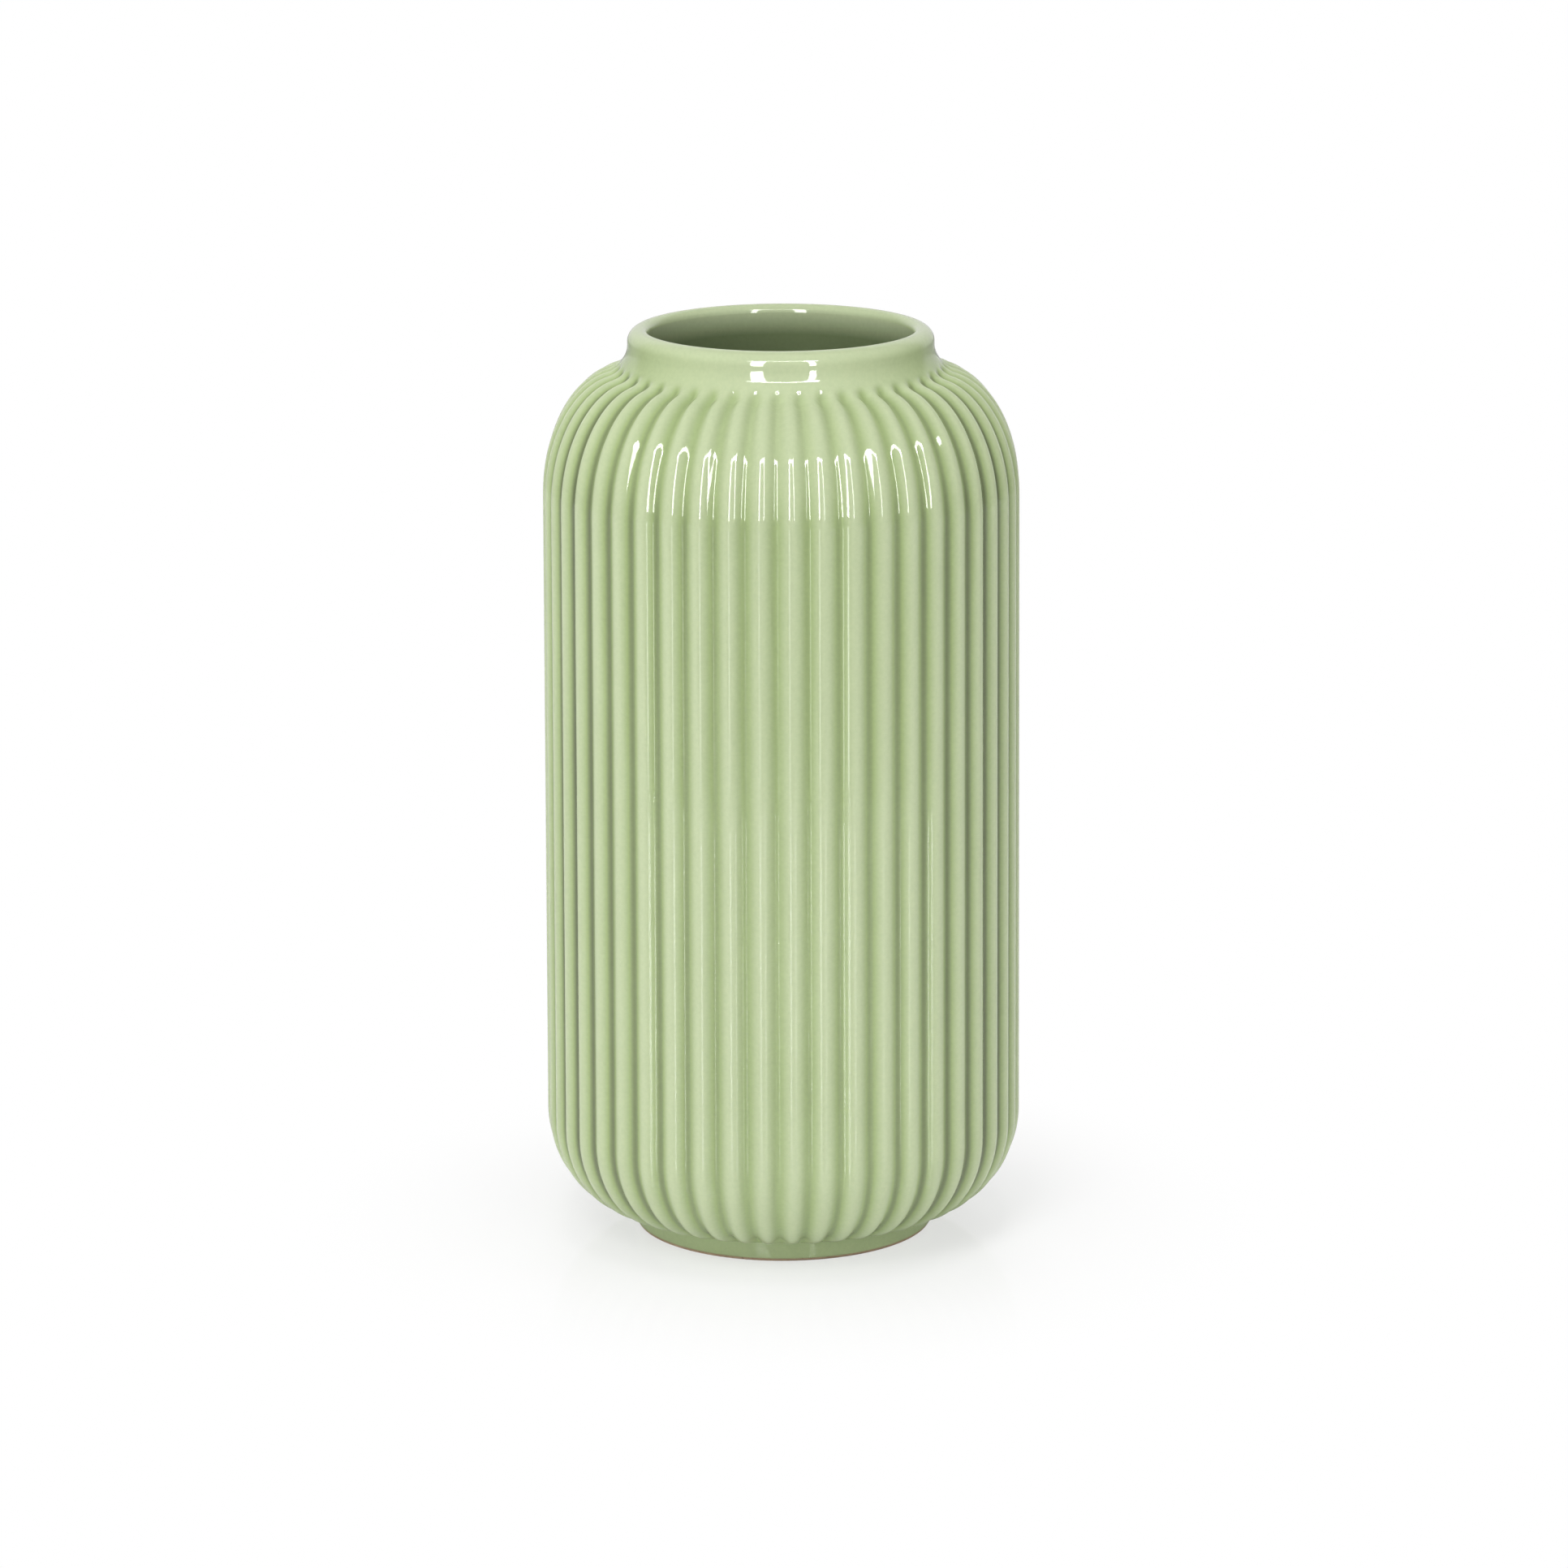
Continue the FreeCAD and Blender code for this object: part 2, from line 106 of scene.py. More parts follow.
# Painted light: the pooled colour in the shoulder's hollows is weakened towards the front and back.
SHOULDER_FRONT_PAINTED_LIGHT = 0.55

# How finely the glaze is drawn
ACROSS_FLUTE = 14
ROUND_INSIDE = 192
ROUND_THROAT_CORNER = 8
ROUND_BIG_CORNER = 20
FLOOR_RING_SHARES = (0.66, 0.33)
HALVINGS = 50
SHARP_TURN = math.radians(60)


# Outline of the vase

def ellipse_normal(reach, rise, turn):
    """Outward direction on an upright ellipse at an angle from its side."""
    radial = math.cos(turn) / reach
    upward = math.sin(turn) / rise
    length = math.hypot(radial, upward)
    return radial / length, upward / length


def halve(wrong_at, low, high):
    """The place between low and high where wrong_at turns from positive to negative."""
    for _ in range(HALVINGS):
        middle = (low + high) / 2
        if wrong_at(middle) > 0:
            low = middle
        else:
            high = middle
    return (low + high) / 2


def too_far_out(turn):
    """How far outside its centre line the collar's sweep would be, leaving the shoulder at this turn."""
    radial, _ = ellipse_normal(vase.shoulder_reach, vase.shoulder_rise, turn)
    side = vase.shoulder_centre + vase.shoulder_reach * math.cos(turn)
    return side + vase.collar_sweep * radial - vase.sweep_radius


vase.shoulder_turn = halve(too_far_out, 0.0, math.pi / 2)
_, sweep_upward = ellipse_normal(vase.shoulder_reach, vase.shoulder_rise, vase.shoulder_turn)
vase.sweep_turn = math.asin(sweep_upward)
shoulder_top = vase.sweep_level - vase.collar_sweep * sweep_upward
vase.shoulder_height = shoulder_top - vase.shoulder_rise * math.sin(vase.shoulder_turn)
vase.ceiling_level = vase.shoulder_height + vase.shoulder_rise - vase.shoulder_wall


def flute_shape(share):
    """Share of the flute's depth across one ridge: all at both sides, none in the middle."""
    turn = 2 * math.pi * share
    return (1 + math.cos(turn)) / 2 - vase.ridge_fullness_share * math.sin(turn) ** 2


def grown(distance, reach):
    """Share of its full depth that a flute has at a distance from its end."""
    share = min(1.0, max(0.0, distance / reach))
    return share * share * (3 - 2 * share)


def run_in(level):
    """The flutes start from nothing under the collar and reach their depth a little lower."""
    return grown(vase.joint_height - level, vase.flute_run_in)


def run_out(level):
    """They run out again above the foot."""
    return grown(level - vase.foot_height, vase.flute_run_out)


def foot_side(level, inset):
    """Radius of the slightly flared side of the foot."""
    return vase.foot_radius + vase.foot_overhang * level / vase.foot_height - inset


def bowl_place(turn, inset, hollow):
    """A point of the bowl, an ellipse from the belly down to the foot."""
    radial, upward = ellipse_normal(vase.bowl_reach, vase.bowl_drop, turn)
    radius = vase.foot_radius + vase.bowl_reach * math.cos(turn)
    level = vase.belly_height - vase.bowl_drop * math.sin(turn)
    depth = inset + hollow * run_out(level)
    return radius - radial * depth, level + upward * depth


def bowl_end(inset, hollow):
    """The turn at which the bowl runs into the side of the foot."""

    def outside_foot(turn):
        radius, level = bowl_place(turn, inset, hollow)
        return radius - foot_side(level, inset)

    return halve(outside_foot, 0.0, math.pi / 2)


def foot_edge_row(step, inset, hollow):
    """The rounded lower edge of the coat, a little above the table."""
    turn = (1 - step) * math.pi / 2
    level = vase.bare_height + (vase.glaze - inset) * (1 - math.sin(turn))
    return foot_side(level, inset) - (vase.glaze - inset) * (1 - math.cos(turn)), level


def foot_row(step, inset, hollow):
    """The smooth side of the foot, up to where the flutes run out on it."""
    bottom = vase.bare_height + vase.glaze - inset
    _, top = bowl_place(bowl_end(inset, hollow), inset, hollow)
    level = bottom + step * (top - bottom)
    return foot_side(level, inset), level


def bowl_row(step, inset, hollow):
    """The bowl, from the foot up to the belly."""
    return bowl_place(bowl_end(inset, hollow) * (1 - step), inset, hollow)


def wall_row(step, inset, hollow):
    """The straight wall, drawn in a little towards the shoulder."""
    radius = vase.belly_radius + step * (vase.shoulder_radius - vase.belly_radius)
    level = vase.belly_height + step * (vase.shoulder_height - vase.belly_height)
    return radius - inset - hollow, level


def shoulder_row(step, inset, hollow):
    """The shoulder, an ellipse up to where the collar's sweep leaves it."""
    turn = vase.shoulder_turn * step
    radial, upward = ellipse_normal(vase.shoulder_reach, vase.shoulder_rise, turn)
    radius = vase.shoulder_centre + vase.shoulder_reach * math.cos(turn)
    level = vase.shoulder_height + vase.shoulder_rise * math.sin(turn)
    depth = inset + hollow * run_in(level)
    return radius - radial * depth, level - upward * depth


def sweep_row(step, inset, hollow):
    """The hollow sweep from the shoulder into the upright collar."""
    turn = vase.sweep_turn * (1 - step)
    radius = vase.sweep_radius - vase.collar_sweep * math.cos(turn)
    level = vase.sweep_level - vase.collar_sweep * math.sin(turn)
    depth = inset + hollow * run_in(level)
    return radius - math.cos(turn) * depth, level - math.sin(turn) * depth


def outer_lip_row(step, inset, hollow):
    """The outer round of the lip, up to its crest. It has no flutes."""
    turn = step * math.pi / 2
    reach = vase.lip_outer_round - inset
    return vase.crest_radius + reach * math.cos(turn), vase.lip_outer_level + reach * math.sin(turn)


def inner_lip_row(step, inset, hollow):
    """The inner round of the lip, from its crest down into the throat."""
    turn = (1 - step) * math.pi / 2
    reach = vase.lip_inner_round - inset
    return vase.crest_radius - reach * math.cos(turn), vase.lip_inner_level + reach * math.sin(turn)


# Glaze coats: rows of points, each row once round the vase, closed from the glossy face to the clay side

OUTER_STRETCHES = (
    # stretch, rows on the glossy face, rows on the clay side
    (foot_edge_row, 4, 0),
    (foot_row, 4, 1),
    (bowl_row, 26, 8),
    (wall_row, 8, 1),
    (shoulder_row, 30, 8),
    (sweep_row, 16, 5),
    (outer_lip_row, 12, 4),
    (inner_lip_row, 8, 2),
)


def coat_rows(inset, depth, fine):
    """Rows from the foot to the lip, as places across one ridge, with how hollow each place is."""
    shapes = [flute_shape(column / ACROSS_FLUTE) for column in range(ACROSS_FLUTE)]
    rows = []
    for stretch, fine_count, plain_count in OUTER_STRETCHES:
        count = fine_count if fine else plain_count
        for step in range(count):
            rows.append([(*stretch(step / count, inset, depth * shape), shape) for shape in shapes])
    last = [(*inner_lip_row(1, inset, 0), 0.0)] * ACROSS_FLUTE
    return rows + [last]


def pool_and_painted_shade(angle, level, hollow):
    """How deep the glaze looks at a place, from none on a ridge to two in the hollows at both sides, where
    the part over one is painted shade. It also adds painted shade near the foot and on the sides of the
    collar, and painted light on the shoulder's front and back.
    """
    side = abs(math.cos(angle))
    shoulder = grown(level - vase.shoulder_height, vase.shoulder_rise / 2)
    crest = grown(level - vase.lip_outer_level, vase.lip_outer_round)
    # Painted light: paler shoulder hollows towards the front and back.
    front_paler = 1 - SHOULDER_FRONT_PAINTED_LIGHT * shoulder * (1 - side)
    flute = hollow * run_in(level) * run_out(level) * front_paler
    # Painted shade near the foot.
    foot = FOOT_PAINTED_SHADE * (1 - run_out(level))
    # Painted shade on the left and right sides of the collar.
    collar = COLLAR_PAINTED_SHADE * (1 - run_in(level)) * (1 - crest) * side ** COLLAR_PAINTED_SHADE_POWER
    # Painted shade: the hollows darken further towards the left and right sides.
    return flute * (1 + SIDE_PAINTED_SHADE * side * hollow) + foot + collar


def add_piece(name, points, faces, material):
    """A smooth mesh object that rides with the vase."""
    mesh = bpy.data.meshes.new(name)
    mesh.from_pydata(points, [], faces)
    mesh.polygons.foreach_set("use_smooth", [True] * len(faces))
    mesh.set_sharp_from_angle(angle=SHARP_TURN)
    mesh.materials.append(material)
    piece = bpy.data.objects.new(name, mesh)
    bpy.context.scene.collection.objects.link(piece)
    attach(piece, "root")
    return piece


def turned(radius, angle, level):
    """A point at an angle round the axis."""
    return radius * math.cos(angle), radius * math.sin(angle), level


def quad(row, after, column, around):
    """Corners of a face between two rows, where points are numbered row by row."""
    right = (column + 1) % around
    return [row * around + column, row * around + right, after * around + right, after * around + column]


def make_outer_glaze(material):
    """The coat over foot, flutes, collar and lip."""
    face = coat_rows(0.0, vase.flute_depth, True)
    back = coat_rows(vase.glaze, vase.flute_depth + vase.glaze_pool, False)
    rows = face + back[:0:-1]
    around = FLUTES * ACROSS_FLUTE
    points = []
    pool_and_shade_depths = []
    for row in rows:
        for column in range(around):
            radius, level, hollow = row[column % ACROSS_FLUTE]
            angle = FRONT + RIDGE_TURN + (column / ACROSS_FLUTE - 0.5) * 2 * math.pi / FLUTES
            points.append(turned(radius, angle, level))
            pool_and_shade_depths.append(pool_and_painted_shade(angle, level, hollow))
    faces = []
    for row in range(len(rows)):
        after = (row + 1) % len(rows)
        faces += [quad(row, after, column, around) for column in range(around)]
    piece = add_piece("glaze_outside_painted_shade", points, faces, material)
    # The hollow attribute carries the pooled glaze with the painted shade and painted light worked out
    # above.
    values = piece.data.attributes.new("hollow", "FLOAT", "POINT")
    values.data.foreach_set("value", pool_and_shade_depths)
    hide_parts("outer_glaze")


def arc_points(centre, reach, first, last, count):
    """Places along an arc, in degrees from straight out."""
    turns = [math.radians(first + (last - first) * step / count) for step in range(count + 1)]
    return [(centre[0] + reach * math.cos(turn), centre[1] + reach * math.sin(turn)) for turn in turns]


def liner_outline(inset):
    """Half outline of the inside, from the lip down to the middle of the floor."""
    throat = vase.throat_radius + inset
    corner = (vase.ceiling_flat, vase.ceiling_level + vase.throat_round)
    ceiling = (vase.ceiling_flat, vase.ceiling_level - vase.ceiling_round)
    bottom = (vase.low_barrel - vase.floor_round, vase.floor_level + vase.floor_round)
    return (
        [(throat, vase.lip_inner_level)]
        + arc_points(corner, vase.throat_round - inset, 180, 270, ROUND_THROAT_CORNER)
        + arc_points(ceiling, vase.ceiling_round + inset, 90, 0, ROUND_BIG_CORNER)
        + arc_points(bottom, vase.floor_round + inset, 0, -90, ROUND_BIG_CORNER)
        + [(bottom[0] * share, vase.floor_level - inset) for share in FLOOR_RING_SHARES]
    )


def liner_skin(first, rows, side):
    """Faces of the turned rows of one skin of the coat inside. Side is 1 for the glossy face, or else -1."""
    return [
        quad(row, row + 1, column, ROUND_INSIDE)[::side]
        for row in range(first, first + rows - 1)
        for column in range(ROUND_INSIDE)
    ]


def liner_middle(row, middle, side):
    """Faces that close the last row of a skin round the point in the middle of the floor."""
    start = row * ROUND_INSIDE
    faces = []
    for column in range(ROUND_INSIDE):
        right = (column + 1) % ROUND_INSIDE
        faces.append([start + column, start + right, middle][::side])
    return faces


def make_liner_glaze(material):
    """The coat inside the vase, closed from its glossy face to its clay side."""
    face = liner_outline(0.0)
    back = liner_outline(vase.glaze)
    rows = len(face)
    points = []
    for radius, level in face + back:
        for column in range(ROUND_INSIDE):
            points.append(turned(radius, 2 * math.pi * column / ROUND_INSIDE, level))
    middle = len(points)
    points.append((0, 0, face[-1][1]))
    points.append((0, 0, back[-1][1]))
    rim = [quad(rows, 0, column, ROUND_INSIDE) for column in range(ROUND_INSIDE)]
    faces = (
        liner_skin(0, rows, 1)
        + liner_skin(rows, rows, -1)
        + rim
        + liner_middle(rows - 1, middle, 1)
        + liner_middle(2 * rows - 1, middle + 1, -1)
    )
    piece = add_piece("glaze_inside_painted_shade", points, faces, material)
    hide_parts("liner_glaze")


# Materials

WHITE = (1.0, 1.0, 1.0)

# Noise: scale in cells per metre, detail, roughness
GLAZE_CLOUD = (28.0, 3.0, 0.5)
GLAZE_GRAIN = (900.0, 2.0, 0.6)
GLAZE_SHEEN = (120.0, 3.0, 0.6)
GLAZE_RIPPLE = (110.0, 1.0, 0.5)
CLAY_CLOUD = (90.0, 4.0, 0.6)
CLAY_GRAIN = (1600.0, 3.0, 0.7)

# Glaze
RIDGE_GREEN = (0.522, 0.60, 0.378)
HOLLOW_GREEN = (0.355, 0.445, 0.212)
# Painted shade inside the vase, below the lip and on the glaze of its floor.
INSIDE_SHADE_GREEN = (0.17, 0.215, 0.11)
# Darkest green: painted shade, reached only where painted shade adds to the pooled glaze.
PAINTED_SHADE_GREEN = (0.10, 0.115, 0.065)
# Painted shade: how far below the lip the inside reaches its shaded green.
INSIDE_SHADE_FADE = 0.0065
CLOUD_OUTSIDE = 0.25
CLOUD_INSIDE = 0.15
GRAIN_STOPS = ((0.3, (0.25, 0.3, 0.15)), (0.7, (0.8, 0.85, 0.6)))
GRAIN_STRENGTH = 0.06
GLAZE_ROUGHNESS = (0.03, 0.06)
RIPPLE_STRENGTH = 0.10
RIPPLE_HEIGHT = 0.0004
GLAZE_IOR = 1.5

# Clay: its dark and its pale colour, and the noise values that they stand at
BARE_CLAY = ((0.36, 0.25, 0.16), (0.50, 0.37, 0.25))
CLAY_BODY = ((0.52, 0.44, 0.33), (0.62, 0.54, 0.42))
CLAY_STOPS = (0.25, 0.75)
SPECK_STOPS = ((0.30, (0.35, 0.25, 0.18)), (0.42, WHITE))
SPECK_STRENGTH = 0.8
CLAY_ROUGHNESS = (0.7, 0.9)
CLAY_GRAIN_STRENGTH = 0.4
CLAY_GRAIN_HEIGHT = 0.0001


class Shading:
    """The nodes of a material or of the world, with short ways to add the common ones."""

    def __init__(self, owner):
        owner.use_nodes = True
        self.nodes = owner.node_tree.nodes
        self.links = owner.node_tree.links
        self.nodes.clear()

    def feed(self, socket, value):
        """Give a socket another socket, a colour or a number."""
        if hasattr(value, "links"):
            self.links.new(value, socket)
        elif isinstance(value, tuple):
            socket.default_value = (*value, 1.0)
        else:
            socket.default_value = value

    def add(self, kind, **values):
        """A node with values for its inputs, named as they are but with low bars for spaces."""
        node = self.nodes.new(kind)
        for name, value in values.items():
            self.feed(node.inputs[name.replace("_", " ")], value)
        return node

    def finish(self, kind, shader):
        """Put a shader on the surface."""
        self.links.new(shader.outputs[0], self.nodes.new(kind).inputs["Surface"])

    def place(self, kind="Object"):
        """The place of a point on the object, or the direction into the room."""
        return self.nodes.new("ShaderNodeTexCoord").outputs[kind]

    def noise(self, place, grain):
        """Noise from 0 to 1."""
        scale, detail, roughness = grain
        node = self.add("ShaderNodeTexNoise", Vector=place, Scale=scale, Detail=detail, Roughness=roughness)
        return node.outputs["Fac"]

    def ramp(self, factor, stops):
        """Colours along a factor."""
        node = self.add("ShaderNodeValToRGB", Fac=factor)
        elements = node.color_ramp.elements
        while len(elements) < len(stops):
            elements.new(1.0)
        for element, (position, colour) in zip(elements, stops):
            element.position = position
            element.color = (*colour, 1.0)
        return node.outputs["Color"]

    def mixed(self, factor, first, second, blend="MIX"):
        """Two colours mixed by a factor."""
        node = self.nodes.new("ShaderNodeMix")
        node.data_type = "RGBA"
        node.blend_type = blend
        self.feed(node.inputs["Factor"], factor)
        self.feed(node.inputs["A"], first)
        self.feed(node.inputs["B"], second)
        return node.outputs["Result"]

    def maths(self, operation, *values):
        """A sum of numbers and sockets."""
        node = self.nodes.new("ShaderNodeMath")
        node.operation = operation
        for socket, value in zip(node.inputs, values):
            self.feed(socket, value)
        return node.outputs[0]

    def spread(self, value, **ends):
        """A value carried from one range to another."""
        return self.add("ShaderNodeMapRange", Value=value, **ends).outputs["Result"]

    def bump(self, height, strength, distance):
        """A surface made uneven by a height."""
        node = self.add("ShaderNodeBump", Height=height, Strength=strength, Distance=distance)
        return node.outputs["Normal"]

    def either(self, factor, first, second):
        """The first shader, or the second as far as the factor goes."""
        node = self.nodes.new("ShaderNodeMixShader")
        self.feed(node.inputs[0], factor)
        self.feed(node.inputs[1], first.outputs[0])
        self.feed(node.inputs[2], second.outputs[0])
        return node


def new_material(name):
    """A new material and its shading, with no nodes yet."""
    material = bpy.data.materials.new(name)
    return material, Shading(material)


def flute_colour(shading, cloud):
    """Thin and pale on the ridges, pooled greener in the hollows, and darkest where painted shade is added:
    in the hollows at both sides, near the foot and on the collar's sides.
    """
    # The hollow attribute holds pooled glaze together with painted shade and painted light.
    hollow = shading.nodes.new("ShaderNodeAttribute")
    hollow.attribute_name = "hollow"
    spread = shading.maths("MULTIPLY_ADD", cloud, CLOUD_OUTSIDE, -CLOUD_OUTSIDE / 2)
    depth = shading.maths("ADD", hollow.outputs["Fac"], spread)
    hollow_stop = 1 / (1 + SIDE_PAINTED_SHADE)
    # The step from the hollow green to the darkest green is painted shade.
    stops = ((0.0, RIDGE_GREEN), (hollow_stop, HOLLOW_GREEN), (1.0, PAINTED_SHADE_GREEN))
    return shading.ramp(shading.maths("MULTIPLY", depth, hollow_stop), stops)


def inside_colour(shading, place, cloud):
    """Pale at the lip and darker from a little below it: painted shade inside the vase."""
    height = shading.nodes.new("ShaderNodeSeparateXYZ")
    shading.feed(height.inputs[0], place)
    below = shading.spread(
        height.outputs["Z"],
        From_Min=vase.lip_inner_level,
        From_Max=vase.lip_inner_level - INSIDE_SHADE_FADE,
    )
    depth = shading.maths("MULTIPLY_ADD", cloud, CLOUD_INSIDE, below)
    return shading.ramp(depth, ((0.0, RIDGE_GREEN), (1.0, INSIDE_SHADE_GREEN)))


def glaze_material(name, pooled):
    """Glossy sage glaze with a faint grain and a slightly wavy face. Its colour holds painted shade: outside
    in the hollows at the sides, near the foot and on the collar's sides, with painted light on the
    shoulder's front and back; inside below the lip.
    """
    material, shading = new_material(name)
    place = shading.place()
    cloud = shading.noise(place, GLAZE_CLOUD)
    grain = shading.ramp(shading.noise(place, GLAZE_GRAIN), GRAIN_STOPS)
    colour = flute_colour(shading, cloud) if pooled else inside_colour(shading, place, cloud)
    low, high = GLAZE_ROUGHNESS
    shader = shading.add(
        "ShaderNodeBsdfPrincipled",
        Base_Color=shading.mixed(GRAIN_STRENGTH, colour, grain, "OVERLAY"),
        Roughness=shading.spread(shading.noise(place, GLAZE_SHEEN), To_Min=low, To_Max=high),
        IOR=GLAZE_IOR,
        Normal=shading.bump(shading.noise(place, GLAZE_RIPPLE), RIPPLE_STRENGTH, RIPPLE_HEIGHT),
    )
    shading.finish("ShaderNodeOutputMaterial", shader)
    return material


def clay_material(name, colours):
    """Fired clay with a fine grain and small dark specks."""
    material, shading = new_material(name)
    place = shading.place()
    cloud = shading.noise(place, CLAY_CLOUD)
    grain = shading.noise(place, CLAY_GRAIN)
    stops = tuple(zip(CLAY_STOPS, colours))
    low, high = CLAY_ROUGHNESS
    shader = shading.add(
        "ShaderNodeBsdfPrincipled",
        Base_Color=shading.mixed(
            SPECK_STRENGTH, shading.ramp(cloud, stops), shading.ramp(grain, SPECK_STOPS), "MULTIPLY"
        ),
        Roughness=shading.spread(cloud, To_Min=low, To_Max=high),
        Normal=shading.bump(grain, CLAY_GRAIN_STRENGTH, CLAY_GRAIN_HEIGHT),
    )
    shading.finish("ShaderNodeOutputMaterial", shader)
    return material


def dress(node, material):
    """Give a solid that stays a material."""
    for place in bpy.data.objects[node].material_slots:
        place.material = material


# Table: its front edge lies outside the view, and its shade ends in plain white away from the vase
TABLE_FRONT = 0.60
TABLE_REACH = 3.0
TABLE_COLOUR = (0.93, 0.93, 0.93)
TABLE_ROUGHNESS = 0.05
TABLE_IOR = 1.45
SHADE_NEAR = 0.035
SHADE_FAR = 0.14
SHADE_WHITE = 0.62


def table_material():
    """White glossy table top. Away from the vase it goes over into the plain white behind."""
    material, shading = new_material("white_table")
    top = shading.add(
        "ShaderNodeBsdfPrincipled", Base_Color=TABLE_COLOUR, Roughness=TABLE_ROUGHNESS, IOR=TABLE_IOR
    )
    white = shading.add("ShaderNodeEmission", Color=WHITE)
    distance = shading.nodes.new("ShaderNodeVectorMath")
    distance.operation = "LENGTH"
    shading.feed(distance.inputs[0], shading.place())
    fade = shading.add(
        "ShaderNodeMapRange",
        Value=distance.outputs["Value"],
        From_Min=SHADE_NEAR,
        From_Max=SHADE_FAR,
        To_Min=SHADE_WHITE,
    )
    fade.interpolation_type = "SMOOTHSTEP"
    rays = shading.nodes.new("ShaderNodeLightPath")
    seen = shading.maths("MULTIPLY", fade.outputs["Result"], rays.outputs["Is Camera Ray"])
    shading.finish("ShaderNodeOutputMaterial", shading.either(seen, top, white))
    return material


def make_table():
    """A white table top that ends in front of the vase, outside the view."""
    corners = [
        (-TABLE_REACH, -TABLE_FRONT, 0),
        (TABLE_REACH, -TABLE_FRONT, 0),
        (TABLE_REACH, TABLE_REACH, 0),
        (-TABLE_REACH, TABLE_REACH, 0),
    ]
    mesh = bpy.data.meshes.new("table_top")
    mesh.from_pydata(corners, [], [(0, 1, 2, 3)])
    mesh.materials.append(table_material())
    table = bpy.data.objects.new("table_top", mesh)
    bpy.context.scene.collection.objects.link(table)


# Room: how much it lights, and how bright it is where the glaze mirrors it, at the camera's side and behind
ROOM_FILL = 0.03
ROOM_MIRRORED = (0.16, 0.16, 0.16)
BEHIND_MIRRORED = (0.78, 0.78, 0.78)
BEHIND_FROM = 0.60
BEHIND_TO = 0.72


def make_world():
    """A plain room: white behind the vase, dimmer round the camera."""
    world = bpy.data.worlds.new("studio")
    bpy.context.scene.world = world
    shading = Shading(world)
    direction = shading.nodes.new("ShaderNodeSeparateXYZ")
    shading.feed(direction.inputs[0], shading.place("Generated"))
    behind = shading.spread(direction.outputs["Y"], From_Min=BEHIND_FROM, From_Max=BEHIND_TO)
    room = shading.add("ShaderNodeBackground", Color=shading.mixed(behind, ROOM_MIRRORED, BEHIND_MIRRORED))
    fill = shading.add("ShaderNodeBackground", Strength=ROOM_FILL)
    plain = shading.add("ShaderNodeBackground", Color=WHITE)
    rays = shading.nodes.new("ShaderNodeLightPath")
    shiny = shading.maths("MAXIMUM", rays.outputs["Is Glossy Ray"], rays.outputs["Is Transmission Ray"])
    lit = shading.either(shiny, fill, room)
    shading.finish("ShaderNodeOutputWorld", shading.either(rays.outputs["Is Camera Ray"], lit, plain))


# Lamps, round the vase by azimuth to the right of the camera and by elevation, in degrees
SOFT_DISTANCE = 1.5
SOFT_HEIGHT = 0.7
SOFT_LAMPS = (
    # name, azimuth, elevation, width, power
    ("soft_left", -40, 10, 0.9, 6.0),
    ("soft_front", 0, 12, 0.5, 2.0),
    ("soft_right", 30, 10, 0.5, 1.0),
    ("soft_high", -18, 45, 0.5, 10.4),
    ("soft_above", 0, 82, 0.5, 8.2),
    ("soft_behind_left", -105, 10, 0.5, 5.5),
    ("soft_behind", 180, 25, 0.5, 7.5),
    ("soft_behind_right", 82, 10, 0.5, 7.4),
)
MIRROR_DISTANCE = 1.25
MIRROR_BRIGHTNESS = 17.0
MIRRORED_LAMPS = (
    # name, azimuth, elevation, angle across, angle up, share of the brightness
    ("mirrored_left", -17.5, 18.5, 10, 39, 1.0),
    ("mirrored_right", 23.5, 18.5, 5, 39, 1.0),
    ("mirrored_corner", 24.5, 36, 10, 6, 1.0),
    ("mirrored_top", 1, 38.5, 46, 3.5, 1.0),
    ("mirrored_low", -19, -14, 5, 16, 0.35),
)


def around_vase(azimuth, elevation, distance, centre):
    """A point seen from the axis of the vase, at the height of the centre."""
    turn = math.radians(azimuth)
    rise = math.radians(elevation)
    return (
        distance * math.sin(turn) * math.cos(rise),
        -distance * math.cos(turn) * math.cos(rise),
        centre + distance * math.sin(rise),
    )


def add_lamp(name, place, target, width, height, power):
    """A flat soft lamp that faces a point."""
    data = bpy.data.lights.new(name, "AREA")
    data.shape = "RECTANGLE"
    data.size = width
    data.size_y = height
    data.energy = power
    lamp = bpy.data.objects.new(name, data)
    lamp.location = place
    lamp.rotation_mode = "QUATERNION"
    lamp.rotation_quaternion = (Vector(target) - Vector(place)).to_track_quat("-Z", "Y")
    bpy.context.scene.collection.objects.link(lamp)
    return lamp


def add_soft(name, azimuth, elevation, width, power):
    """A lamp that lights the vase and isn't seen mirrored in it."""
    middle = vase.height / 2
    place = around_vase(azimuth, elevation, SOFT_DISTANCE, middle)
    lamp = add_lamp(name, place, (0, 0, middle), width, SOFT_HEIGHT, power)
    lamp.visible_glossy = False


def side_for(angle):
    """Side of a mirrored lamp that spans an angle, in degrees, at the vase."""
    return 2 * MIRROR_DISTANCE * math.tan(math.radians(angle) / 2)


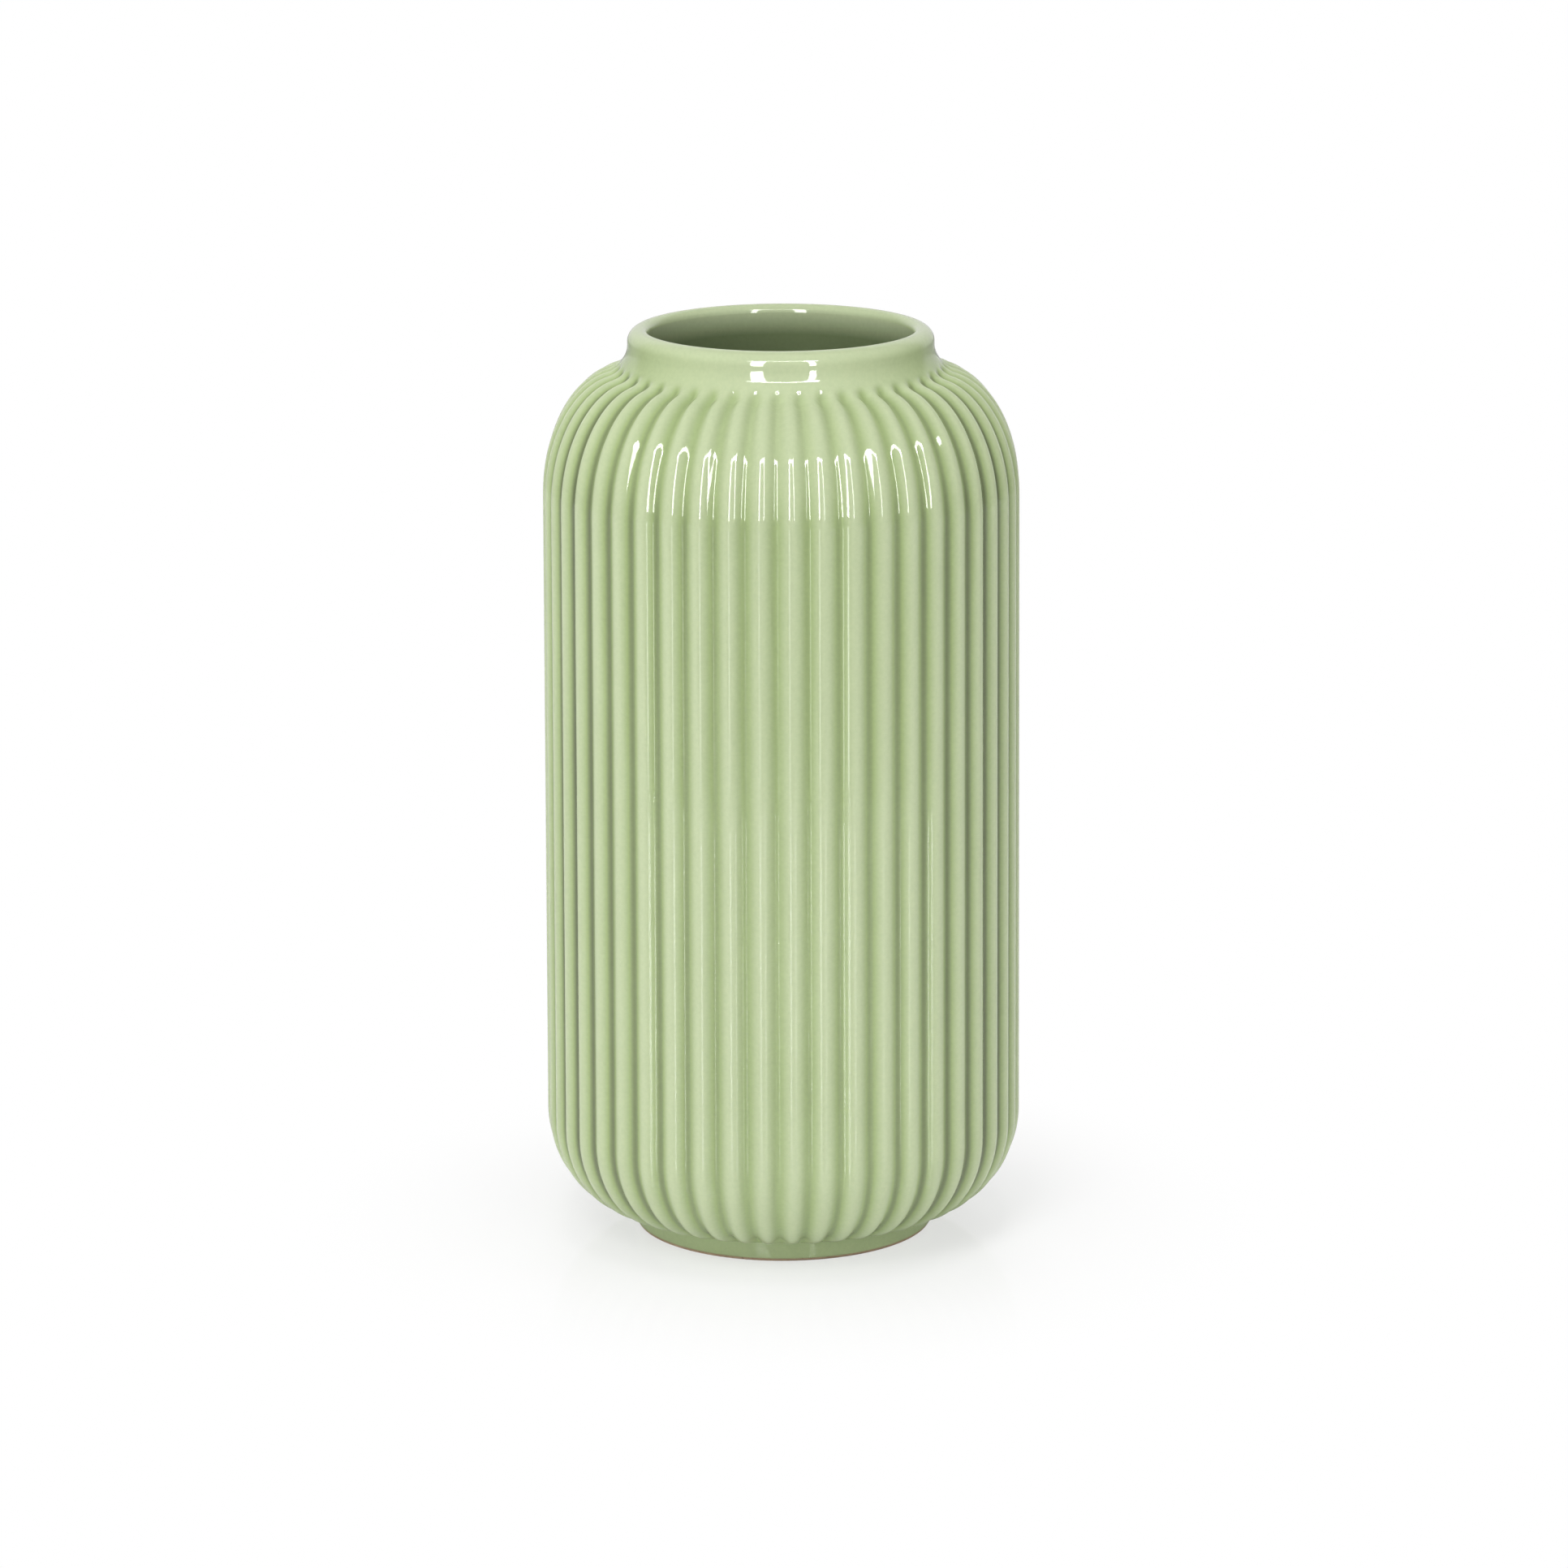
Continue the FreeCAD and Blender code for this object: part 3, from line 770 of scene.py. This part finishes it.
def add_mirrored(name, azimuth, elevation, across, up, share):
    """A lamp that is only seen mirrored in the glaze."""
    width = side_for(across)
    height = side_for(up)
    centre = vase.shoulder_height
    place = around_vase(azimuth, elevation, MIRROR_DISTANCE, centre)
    power = share * MIRROR_BRIGHTNESS * math.pi * width * height
    lamp = add_lamp(name, place, (0, 0, centre), width, height, power)
    lamp.visible_diffuse = False


def make_lamps():
    """Soft lamps that light the vase, and a window of narrow lamps that only its gloss shows."""
    for soft in SOFT_LAMPS:
        add_soft(*soft)
    for mirrored in MIRRORED_LAMPS:
        add_mirrored(*mirrored)


# Camera: the photograph's view, from the front and a little above, with a long lens
CAMERA_DISTANCE = 1.6625
CAMERA_HEIGHT = 0.5353
CAMERA_PITCH = math.radians(13.91)
CAMERA_ROLL = math.radians(-0.21)
CAMERA_ASIDE = 0.00042
FOCAL_PIXELS = 7720.7
IMAGE_PIXELS = 1932


def make_camera():
    """The camera, level towards the back, then pitched down and rolled."""
    data = bpy.data.cameras.new("camera")
    data.sensor_fit = "HORIZONTAL"
    data.lens = data.sensor_width * FOCAL_PIXELS / IMAGE_PIXELS
    camera = bpy.data.objects.new("camera", data)
    tilt = Euler((math.pi / 2 - CAMERA_PITCH, 0, 0)).to_matrix().to_4x4()
    roll = Matrix.Rotation(CAMERA_ROLL, 4, "Z")
    camera.matrix_world = Matrix.Translation((CAMERA_ASIDE, -CAMERA_DISTANCE, CAMERA_HEIGHT)) @ tilt @ roll
    bpy.context.scene.collection.objects.link(camera)
    bpy.context.scene.camera = camera


# The scene

# Both glazes carry painted shade in their colour: outside in the hollows, near the foot and on the collar,
# inside below the lip.
glaze_outside_painted_shade = glaze_material("sage_glaze", True)
glaze_inside_painted_shade = glaze_material("sage_glaze_inside", False)
bare_clay = clay_material("bare_clay", BARE_CLAY)
clay_body = clay_material("clay_body", CLAY_BODY)

make_outer_glaze(glaze_outside_painted_shade)
make_liner_glaze(glaze_inside_painted_shade)
dress("foot_ring", bare_clay)
for hidden in ("base_floor", "fluted_wall", "neck_collar"):
    dress(hidden, clay_body)
dress("base_glaze", glaze_inside_painted_shade)

make_table()
make_world()
make_lamps()
make_camera()
bpy.context.scene.view_settings.view_transform = "Standard"
